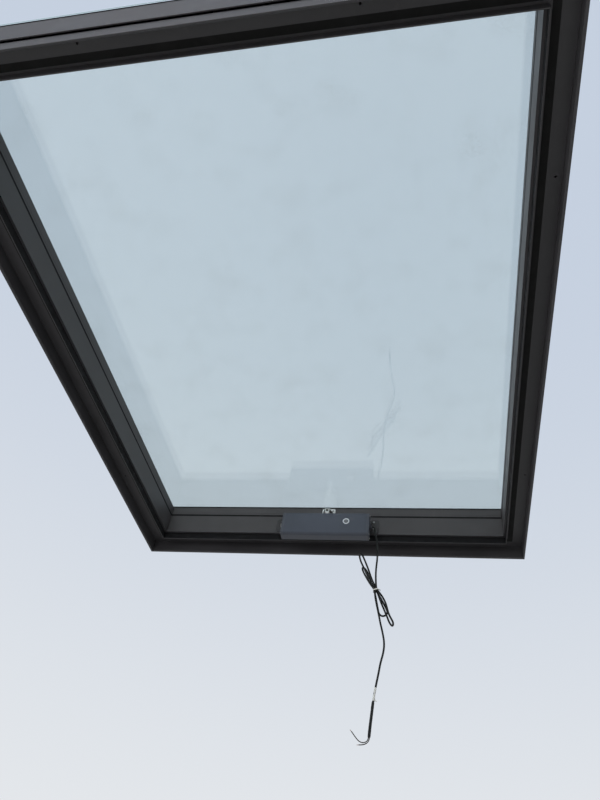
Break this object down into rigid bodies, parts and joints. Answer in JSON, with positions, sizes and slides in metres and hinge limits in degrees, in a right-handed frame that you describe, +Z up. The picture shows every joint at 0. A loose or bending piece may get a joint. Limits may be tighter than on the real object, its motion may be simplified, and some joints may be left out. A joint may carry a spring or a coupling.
{
  "type": "opening roof skylight",
  "caption": "Flat-roof skylight with an insulating glass sash, hinged on one side and pushed open by a chain actuator with its supply lead, in its kerb-mounted base frame.",
  "frame": {"origin": "centre of the clear opening, on the plane where the base frame sits on the kerb, which is also the centre of the kerb fixing holes", "axes": "+X along the side that carries the actuator, +Y from the hinged side to the actuator's side, +Z up through the glass"},
  "size_m": [1.68, 2.18, 1.0571],
  "materials": {
    "frame_coat": "fine satin powder coat, anthracite grey",
    "aluminium": "mill finish",
    "stainless": "fine brushed",
    "seal_rubber": "matt black",
    "sealant": "matt black silicone",
    "tape": "closed-cell foam",
    "clear_glass": "clear",
    "spacer": "black warm-edge bar",
    "actuator_coat": "satin blue-grey coat",
    "actuator_caps": "fine moulded grain",
    "bracket_steel": "satin black coat",
    "zinc_screw": "bright zinc",
    "chain_steel": "nickel plated",
    "guide_nylon": "black nylon",
    "gear_alloy": "die cast",
    "motor_can": "plated can",
    "board": "lacquered board",
    "cover_disc": "satin",
    "lead_jacket": "smooth black jacket",
    "tie": "white plastic-coated wire",
    "label": "silver-grey wrapped film",
    "core": "dark core insulation"
  },
  "bodies": {
    "base": {"base_profile_far": "frame_coat", "base_profile_near": "frame_coat", "base_profile_left": "frame_coat", "base_profile_right": "frame_coat", "base_corner_cleats": "aluminium", "kerb_tape": "tape", "inner_seal": "seal_rubber", "outer_seal": "seal_rubber", "hinge_fixed_leaves": "stainless", "hinge_pins": "stainless", "hinge_base_screws": "zinc_screw", "frame_bracket_left": "bracket_steel", "frame_bracket_right": "bracket_steel", "bracket_screws": "zinc_screw", "lead_upper": "lead_jacket", "lead_hank": "lead_jacket", "lead_tie": "tie", "lead_lower": "lead_jacket", "lead_label": "label", "lead_sleeve": "lead_jacket", "lead_cores": "core"},
    "sash": {"sash_profile_far": "frame_coat", "sash_profile_near": "frame_coat", "sash_profile_left": "frame_coat", "sash_profile_right": "frame_coat", "sash_corner_cleats": "aluminium", "glazing_tape": "sealant", "inner_pane": "clear_glass", "outer_pane": "clear_glass", "spacer_bar": "spacer", "unit_edge_seal": "sealant", "structural_bead": "sealant", "setting_blocks": "seal_rubber", "hinge_moving_leaves": "stainless", "hinge_sash_screws": "zinc_screw", "sash_bracket": "zinc_screw", "sash_bracket_screws": "zinc_screw", "release_pin": "zinc_screw"},
    "actuator": {"actuator_housing": "actuator_coat", "end_cap_left": "actuator_caps", "end_cap_right": "actuator_caps", "end_cap_screws": "zinc_screw", "pivot_screw": "zinc_screw", "cable_gland": "actuator_caps", "stored_chain": "chain_steel", "chain_guide": "guide_nylon", "guide_cover": "gear_alloy", "drive_sprocket": "chain_steel", "gearbox": "gear_alloy", "motor": "motor_can", "control_board": "board", "chain_outlet": "actuator_caps", "round_cover": "cover_disc"},
    "chain_end": {"chain_end": "chain_steel"}
  },
  "joints": [
    {"name": "sash_hinge", "type": "hinge", "parent": "base", "child": "sash", "pos_m": [0, -1.062, 0.047], "axis": [1, 0, 0], "range_deg": [0, 10.8]},
    {"name": "actuator_swivel", "type": "hinge", "parent": "base", "child": "actuator", "pos_m": [0, 0.96, 0.01], "axis": [1, 0, 0], "range_deg": [0, 5.4]},
    {"name": "chain_slide", "type": "slide", "parent": "actuator", "child": "chain_end", "axis": [0, 0, 1], "range_m": [0, 0.3805]}
  ],
  "couplings": [
    {"joint": "actuator_swivel", "follows": "sash_hinge", "ratio": 0.5},
    {"joint": "chain_slide", "follows": "sash_hinge", "m_per_rad": 2.0183}
  ]
}
